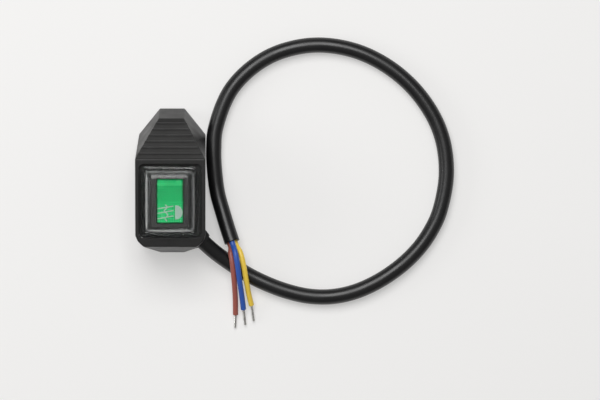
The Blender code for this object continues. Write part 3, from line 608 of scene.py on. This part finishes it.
def cable_and_leads():
    """The cable as a cord, with the leads, their tips and the bush that go with it."""
    line = evenly(smooth_line(CABLE_ROUTE), CABLE_POINTS)
    jacket = piece(
        "cable_jacket", cable_jacket(line), cable_pvc(), "pod", ["cable_sheath"], 50)
    tinned = metal("tinned_strands", (0.8, 0.79, 0.76), 0.26)
    for colour, route in LEAD_ROUTES.items():
        core = lead_line(line, colour, route)
        surface = core_pvc(f"insulation_{colour}", LEAD_COLOURS[colour])
        tube = loft(rings_along(*soft_end(core, CORE_RADIUS, 0.18 * MM), CORE_SIDES))
        piece(
            f"core_{colour}", tube, surface, "pod", [f"lead_{colour}"], 50)
        end, tip = core[-1], Vector(LEAD_TIPS[colour]) * MM
        start = end - (tip - end).normalized() * TIP_OVERLAP
        piece(
            f"strands_{colour}", strands(start, tip), tinned, "pod",
            [f"lead_tip_{colour}"], 50)
    cable_bush()


# The bush's side view as (radius, height along the cable from its exit), in millimetres
BUSH_PROFILE = [
    (3.2, -7.75), (4.28, -7.75), (4.28, -7.05), (3.88, -7.05), (3.88, -2.7), (3.75, -2.2),
    (3.72, -1.7), (3.55, -0.95), (3.35, -0.9), (3.2, -1.1),
]


def cable_bush():
    """The rubber bush in the corner bore, tapered onto the cable."""
    bm = moved(lathe([(r * MM, z * MM) for r, z in BUSH_PROFILE]), exit_frame())
    rubber = moulded("bush_rubber", (0.016, 0.016, 0.016), 0.62)
    return piece("cable_bush", bm, rubber, "pod", ["cable_grommet"])


# ---- pod ------------------------------------------------------------------------------------------

# The pod's outline, ridge, crest and face, as the model has them
NOSE_Y, NOSE_HALF = 28.1 * MM, 4.8 * MM
SHOULDER_Y, HALF_WIDTH, CHEEK_Y = 18.0 * MM, 12.95 * MM, -23.6 * MM
CORNER, TAIL_Y, TAIL_HALF = (10.3 * MM, -26.2 * MM), -28.1 * MM, 4.5 * MM
RIDGE_Y, RIDGE_Z = 23.9 * MM, 13.0 * MM
CREST_Y, CREST_Z = 7.9 * MM, 30.0 * MM
TOP_HALF, TOP_TAIL_Y = 13.45 * MM, -25.7 * MM
TOP_CORNER_STEP, CHEEK_CUT, CORNER_CUT = 0.5 * MM, 0.5 * MM, 0.12 * MM
EDGE_ROUND = 0.5 * MM
FACE_TILT = math.radians(4)
THROW = math.radians(11)  # of the rocker, each way from its middle
RIB_COUNT, RIB_TREAD = 6, 0.6 * MM
RIB_START_Y, RIB_END_Y = 22.5 * MM, 8.25 * MM
RECESS, RECESS_CORNER, RECESS_DEPTH = (23.8 * MM, 28.2 * MM), 1.8 * MM, 1.6 * MM
CUTOUT = (13.1 * MM, 19.4 * MM)
COVER_INSET, LEDGE_Z, WALL, PANEL = 0.9 * MM, 2.4 * MM, 2.0 * MM, 2.0 * MM
RAMP_EXTRA = 0.6 * MM  # how much thicker the wall is under the ribs
BORE_RADIUS, BORE_LOW, BORE_HIGH = 4.0 * MM, -12.3 * MM, 6.4 * MM
# The recess's rim, as (wider, height) in millimetres
RECESS_RINGS = [(0, 0), (0, 1.35), (0.08, 1.5), (0.22, 1.59), (0.32, 1.62), (0.34, 5)]
JOINTS = {joint["name"]: joint for joint in frame["record"]["behaviour"]["joints"]}
PIVOT = Vector(JOINTS["rocker_tilt"]["pos_m"])
SWITCH = Matrix.Translation(PIVOT) @ Matrix.Rotation(FACE_TILT, 4, "X")
ROCKER = Matrix.Translation(PIVOT) @ Matrix.Rotation(FACE_TILT + THROW, 4, "X")


def face_height(y):
    """The height of the pod's sloping top at y."""
    return CREST_Z - (CREST_Y - y) * math.tan(FACE_TILT)


def wall_planes(inset):
    """The pod's side and end walls, each (point, outward normal)."""
    outline = [(NOSE_HALF, NOSE_Y), (HALF_WIDTH, SHOULDER_Y), (HALF_WIDTH, CHEEK_Y), CORNER,
               (TAIL_HALF, TAIL_Y)]
    nose, shoulder, cheek, corner, tail = [(x, y, 0) for x, y in outline]
    top_z = face_height(TOP_TAIL_Y)
    top_corner = (CORNER[0], CORNER[1] + TOP_CORNER_STEP, top_z)
    side = plane(shoulder, cheek, (TOP_HALF, 0, CREST_Z), inset)
    slant = plane(nose, shoulder, (TOP_HALF, CREST_Y, CREST_Z), inset)
    end = plane(corner, tail, top_corner, inset)
    chamfer = plane(cheek, corner, top_corner, inset)
    right = [side, slant, end, chamfer]
    for place, a, b, cut in ((cheek, side, chamfer, CHEEK_CUT), (corner, chamfer, end, CORNER_CUT)):
        normal = (a[1] + b[1]).normalized()
        right.append((Vector(place) - normal * (inset + cut), normal))
    left = [(Vector((-p.x, p.y, p.z)), Vector((-n.x, n.y, n.z))) for p, n in right]
    ends = [
        plane(nose, (0, NOSE_Y, 0), (0, RIDGE_Y, RIDGE_Z), inset),
        plane(tail, (0, TAIL_Y, 0), (0, TOP_TAIL_Y, top_z), inset),
    ]
    return right + left + ends


def pod_block(inset, low, high=None, ramp_inset=0.0, face_inset=0.0):
    """The pod's wedge, or its footprint from low to high where high is given."""
    planes = wall_planes(inset) + [(Vector((0, 0, low)), Vector((0, 0, -1)))]
    if high is not None:
        return convex(planes + [(Vector((0, 0, high)), Vector((0, 0, 1)))])
    ridge, crest = Vector((0, RIDGE_Y, RIDGE_Z)), Vector((0, CREST_Y, CREST_Z))
    tail, across = Vector((0, TOP_TAIL_Y, face_height(TOP_TAIL_Y))), Vector((1, 0, 0))
    ramp = plane(ridge, crest, crest + across, ramp_inset)
    face = plane(crest, tail, crest + across, face_inset)
    return convex(planes + [ramp, face])


def soften(bm, width, segments=4, angle=12):
    """Rounds every edge of bm that turns by more than angle degrees."""
    edges = [e for e in bm.edges if e.calc_face_angle(0) > math.radians(angle)]
    bmesh.ops.bevel(
        bm, geom=edges, offset=width, segments=segments, profile=0.5, affect="EDGES",
        clamp_overlap=True)
    return bm


def rib_cutter():
    """Everything above the stepped treads and risers of the ramp, with soft corners."""
    slope = (CREST_Z - RIDGE_Z) / (RIDGE_Y - CREST_Y)
    pitch = (RIB_START_Y - RIB_END_Y) / RIB_COUNT
    steps = []
    for index in range(RIB_COUNT):
        y = RIB_START_Y - pitch * index
        z = RIDGE_Z + (RIDGE_Y - y) * slope - 0.04 * MM
        steps += [(y, z), (y - RIB_TREAD, z)]
    lift = 3 * MM
    end_z = RIDGE_Z + (RIDGE_Y - RIB_END_Y) * slope
    top = [(RIB_END_Y + lift, end_z + lift), (RIB_START_Y + lift, steps[0][1] + lift)]
    steps += [(RIB_END_Y, end_z), *top]
    return cross_prism(fillet(steps, 0.16 * MM, 3), 20 * MM)


def pod_shell():
    """The moulded wedge: ribs, hollow, cable bore, cover ledge, recess and panel hole."""
    rims = [(RECESS[0] + 2 * wider * MM, RECESS[1] + 2 * wider * MM) for wider, _ in RECESS_RINGS]
    recess = loft([rounded_rect(rim, RECESS_CORNER + wider * MM, height * MM)
                   for rim, (wider, height) in zip(rims, RECESS_RINGS)])
    panel_hole = loft([rounded_rect(CUTOUT, 0.4 * MM, z) for z in (-8 * MM, 5 * MM)])
    hollow = pod_block(
        WALL, -5 * MM, ramp_inset=WALL + RAMP_EXTRA, face_inset=RECESS_DEPTH + PANEL)
    steps = [
        ("DIFFERENCE", rib_cutter()),
        ("DIFFERENCE", hollow),
        ("DIFFERENCE", moved(cylinder(BORE_RADIUS, BORE_LOW, BORE_HIGH, 50), exit_frame())),
        ("DIFFERENCE", pod_block(COVER_INSET, -5 * MM, LEDGE_Z)),
        ("DIFFERENCE", moved(recess, SWITCH)),
        ("DIFFERENCE", moved(panel_hole, SWITCH)),
    ]
    shell = carve(soften(pod_block(0, 0), EDGE_ROUND), steps)
    plastic = moulded("pod_moulding", (0.009, 0.0088, 0.0085), 0.4, depth=0.005 * MM, wear=0.01)
    plastic.shader.inputs["Specular IOR Level"].default_value = 0.32
    piece("pod_shell", shell, plastic, "pod", ["front_housing"], 28)


# ---- cap and rocker -------------------------------------------------------------------------------


# The cap's flange and dome, and its side views as (inset, corner, height) in millimetres
FLANGE, DOME, CAP_BULGE = (22.7 * MM, 27.1 * MM), (20.9 * MM, 25.6 * MM), 0.12 * MM
BEAD = [
    (0.12, 1.6, 0.1), (0.0, 1.7, 0.22), (0.0, 1.7, 0.95), (0.07, 1.67, 1.15), (0.22, 1.6, 1.25),
    (0.4, 1.5, 1.18), (0.52, 1.45, 1.0), (0.7, 1.4, 0.93),
]
DOME_OUTSIDE = [
    (0.0, 1.9, 1.0), (0.2, 1.95, 2.4), (0.45, 2.0, 3.6), (0.8, 2.1, 5.1), (1.25, 2.2, 6.3),
    (1.85, 2.2, 7.1), (2.7, 2.1, 7.55), (3.7, 1.9, 7.7),
]
DOME_INSIDE = [
    (0.9, 1.5, 0.7), (1.05, 1.5, 2.4), (1.4, 1.5, 4.0), (1.85, 1.6, 5.4), (2.4, 1.6, 6.2),
    (3.1, 1.5, 6.7), (4.0, 1.4, 6.85),
]


def profile_line(knots, count):
    """A smooth run of (inset, corner, height) through knots, all in millimetres."""
    return [tuple(p / MM) for p in evenly(smooth_line(knots), count)]


def cap_rings(size, profile):
    """The cap's outlines, stepping in from size."""
    rings = []
    for inset, corner, height in profile:
        shrunk = (size[0] - 2 * inset * MM, size[1] - 2 * inset * MM)
        rings.append(rounded_rect(shrunk, corner * MM, height * MM, bulge=CAP_BULGE))
    return rings


def clear_cap():
    """Clear dome with a beaded flange in the pod's recess and a hole over the bezel."""
    outer = cap_rings(FLANGE, BEAD) + cap_rings(DOME, profile_line(DOME_OUTSIDE, 30))
    inner = cap_rings(DOME, profile_line(DOME_INSIDE, 26))
    hole = loft([rounded_rect(CUTOUT, 0.5 * MM, z) for z in (-MM, 1.5 * MM)])
    cap = carve(loft(outer), [("DIFFERENCE", loft(inner)), ("DIFFERENCE", hole)])
    piece("clear_cap", moved(cap, SWITCH), clear_dome(), "pod", ["boot_cap"], 40)


ROCKER_WIDTH, ROCKER_REACH, ROCKER_DEPTH = 5.0 * MM, 7.3 * MM, 3.0 * MM
TRUNNION_RADIUS, TRUNNION_FROM, TRUNNION_TO = 1.1 * MM, 4.6 * MM, 6.05 * MM
TUBE_RADIUS, TUBE_BORE, TUBE_LOW, TUBE_DEPTH = 1.9 * MM, 1.3 * MM, -3.2 * MM, 1.4 * MM
VALLEY_REACH, VALLEY_SOFTNESS = 0.12, 0.12 * MM


def rocker_outline(radius, low_angle, reach, depth, steps=18):
    """The rocker's side view: a shallow V between two arcs about the trunnions."""
    high_angle = math.atan2(depth + reach * math.tan(THROW), reach)
    angles = [low_angle + (high_angle - low_angle) * i / steps for i in range(steps + 1)]
    right = [(radius * math.cos(a), radius * math.sin(a)) for a in angles]
    left = [(-y, z) for y, z in reversed(right)]
    valley = [(reach * share, depth + abs(reach * share) * math.tan(THROW))
              for share in (VALLEY_REACH, 0.07, 0.03, 0, -0.03, -0.07, -VALLEY_REACH)]
    dip = [(y, z + VALLEY_SOFTNESS * (1 - (y / (VALLEY_REACH * reach)) ** 2)) for y, z in valley]
    return right + dip + left


def rocker():
    """The lens-green rocker: hollow, with soft edges, trunnions and the plunger's tube."""
    radius = math.hypot(ROCKER_REACH, ROCKER_DEPTH + ROCKER_REACH * math.tan(THROW))
    outside = rocker_outline(radius, math.radians(-12), ROCKER_REACH, ROCKER_DEPTH)
    inside = rocker_outline(
        radius - 1.2 * MM, math.radians(-30), ROCKER_REACH - 1.1 * MM, ROCKER_DEPTH - 1.1 * MM)
    body = soften(cross_prism(outside, ROCKER_WIDTH), 0.35 * MM, 3, 25)
    across = Matrix.Rotation(math.pi / 2, 4, "Y")
    steps = [
        ("UNION", moved(cylinder(TRUNNION_RADIUS, low, high, 32), across))
        for low, high in ((-TRUNNION_TO, -TRUNNION_FROM), (TRUNNION_FROM, TRUNNION_TO))
    ]
    steps += [
        ("DIFFERENCE", cross_prism(inside, ROCKER_WIDTH - 0.9 * MM)),
        ("UNION", cylinder(TUBE_RADIUS, TUBE_LOW, ROCKER_DEPTH - 0.6 * MM, 32)),
        ("DIFFERENCE", cylinder(TUBE_BORE, -5 * MM, TUBE_DEPTH, 32)),
    ]
    lens = moved(carve(body, steps), ROCKER)
    piece("rocker_lens", lens, lens_plastic(), "rocker", ["rocker_button"], 30)


SPRING_TURNS, SPRING_RADIUS, SPRING_WIRE = 6, 0.6 * MM, 0.13 * MM
SPRING_LOW, SPRING_HIGH = -4.45 * MM, 1.15 * MM
SPRING_CLOSED = 0.08  # share of the wire in the closed coils at each end


def plunger_coil():
    """The plunger's spring, closed at both ends."""
    line, steps = [], 24 * SPRING_TURNS
    for i in range(steps + 1):
        t = i / steps
        rise = min(max((t - SPRING_CLOSED) / (1 - 2 * SPRING_CLOSED), 0.0), 1.0) * 0.9 + 0.1 * t
        turn = 2 * math.pi * SPRING_TURNS * t
        height = SPRING_LOW + (SPRING_HIGH - SPRING_LOW) * rise
        across, along = SPRING_RADIUS * math.cos(turn), SPRING_RADIUS * math.sin(turn)
        line.append(ROCKER @ Vector((across, along, height)))
    coil = loft(rings_along(line, [SPRING_WIRE] * len(line), 8))
    wire = metal("spring_wire", (0.62, 0.62, 0.63), 0.26)
    obj = piece("plunger_coil", coil, wire, "rocker", ["plunger_spring"], 50)
    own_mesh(obj)


# The printed sign, in millimetres on the rocker's tail half: (across, down from the valley)
LAMP_FLAT, LAMP_MIDDLE, LAMP_SIZE, LAMP_BACK = 1.95, 3.63, (2.85, 2.7), 0.35
RAYS = [((-4.6, 2.2), (1.1, 1.25)), ((-4.7, 4.0), (1.1, 2.9)), ((-4.6, 6.05), (1.1, 5.0))]
WAVE_X, WAVE_LEAN, WAVE_TURN, WAVE_SPAN, WAVE_STEPS = -1.75, 0.5, 0.55, (0.75, 6.85), 32
INK_WIDTH = 0.42
INK = (0.012, 0.05)  # from just above the surface to the ink's face
WAVE_INK = (INK[1] + 0.01, INK[1] + 0.04)  # the wave is printed over the rays


def on_rocker(across, down, lift):
    """A place on the printed half of the rocker, with lift above it."""
    slope = Vector((0, -math.cos(THROW), math.sin(THROW)))
    normal = Vector((0, math.sin(THROW), math.cos(THROW)))
    return ROCKER @ (Vector((across * MM, 0, ROCKER_DEPTH)) + slope * down * MM + normal * lift * MM)


def print_shape(name, outline, ink, lifts=INK):
    """A flat printed shape on the rocker, from its outline in millimetres."""
    sections = [[on_rocker(x, y, lift) for x, y in outline] for lift in lifts]
    piece(name, loft(sections), ink, "rocker", smooth=30)


def half_turn(centre, start, steps=8):
    """The points between start and the far side of a clockwise half circle about centre."""
    arm, points = start - centre, []
    for step in range(1, steps):
        c, s = math.cos(math.pi * step / steps), math.sin(math.pi * step / steps)
        points.append(centre + Vector((arm.x * c + arm.y * s, arm.y * c - arm.x * s)))
    return points


def stroke(points, width):
    """The outline of a line of even width with round ends."""
    points = [Vector(p) for p in points]
    left, right = [], []
    for i, point in enumerate(points):
        along = (points[min(i + 1, len(points) - 1)] - points[max(i - 1, 0)]).normalized()
        side = Vector((-along.y, along.x)) * width / 2
        left.append(point + side)
        right.append(point - side)
    far_end, near_end = half_turn(points[-1], left[-1]), half_turn(points[0], right[0])
    return [tuple(p) for p in left + far_end + right[::-1] + near_end]


def sign():
    """The generic fog-lamp sign: a half-round lamp, slanting rays and a wavy line."""
    ink = sign_ink()
    turns = [math.radians(90 - 180 * i / 24) for i in range(25)]
    wide, high = LAMP_SIZE[0] - LAMP_BACK, LAMP_SIZE[1]
    bow = [(LAMP_FLAT + LAMP_BACK + wide * math.cos(t), LAMP_MIDDLE + high * math.sin(t))
           for t in turns]
    lamp = [(LAMP_FLAT, LAMP_MIDDLE + high), *bow, (LAMP_FLAT, LAMP_MIDDLE - high)]
    print_shape("sign_lamp", fillet(lamp[::-1], 0.3, 3), ink)
    for index, ray in enumerate(RAYS):
        print_shape(f"sign_ray_{index + 1}", stroke(ray, INK_WIDTH), ink)
    start, end = WAVE_SPAN
    wave = []
    for i in range(WAVE_STEPS + 1):
        t = i / WAVE_STEPS
        across = WAVE_X + WAVE_LEAN * t + WAVE_TURN * math.sin(4 * math.pi * t)
        wave.append((across, start + (end - start) * t))
    print_shape("sign_wave", stroke(wave, INK_WIDTH), ink, WAVE_INK)


# ---- the model's own parts ------------------------------------------------------------------------


def finish_nodes():
    """Surfaces for the parts whose model shape is kept."""
    satin = moulded("switch_nylon", (0.055, 0.053, 0.052), 0.4, depth=0.003 * MM)
    cover = moulded("cover_moulding", (0.009, 0.0088, 0.0085), 0.46, wear=0.01)
    rubber = moulded("soft_rubber", (0.017, 0.017, 0.017), 0.7)
    steel = metal("bright_steel", (0.62, 0.62, 0.63), 0.28, streak=(6, 6, 1))
    brass = metal("bright_brass", (0.78, 0.56, 0.24), 0.26)
    nylon = moulded("natural_nylon", (0.78, 0.77, 0.72), 0.42, wear=0.03)
    epoxy = moulded("lamp_epoxy", (0.75, 0.85, 0.78), 0.14, depth=0.001 * MM)
    lacquer = moulded("resistor_lacquer", (0.62, 0.5, 0.32), 0.45)
    surfaces = {
        "switch_body": satin, "back_cover": cover, "cover_gasket": rubber, "cable_tie": rubber,
        "rocker_plunger": nylon, "contact_lever": brass, "supply_terminal": brass,
        "load_terminal": brass, "lamp_terminal": brass, "led_lamp": epoxy, "led_resistor": lacquer,
    }
    for name in frame["nodes"]:
        if name.startswith("cover_screw"):
            surfaces[name] = steel
        elif name.startswith("mounting_insert"):
            surfaces[name] = brass
        elif name.startswith("solder_sleeve"):
            surfaces[name] = rubber
        elif name.startswith("inner_core"):
            colour = name.split("_")[-1]
            surfaces[name] = core_pvc(f"inner_{colour}", LEAD_COLOURS[colour])
    for name, surface in surfaces.items():
        for slot in frame["nodes"][name].material_slots:
            slot.material = surface.mat


camera()
cable_and_leads()
studio()
pod_shell()
clear_cap()
rocker()
plunger_coil()
sign()
finish_nodes()
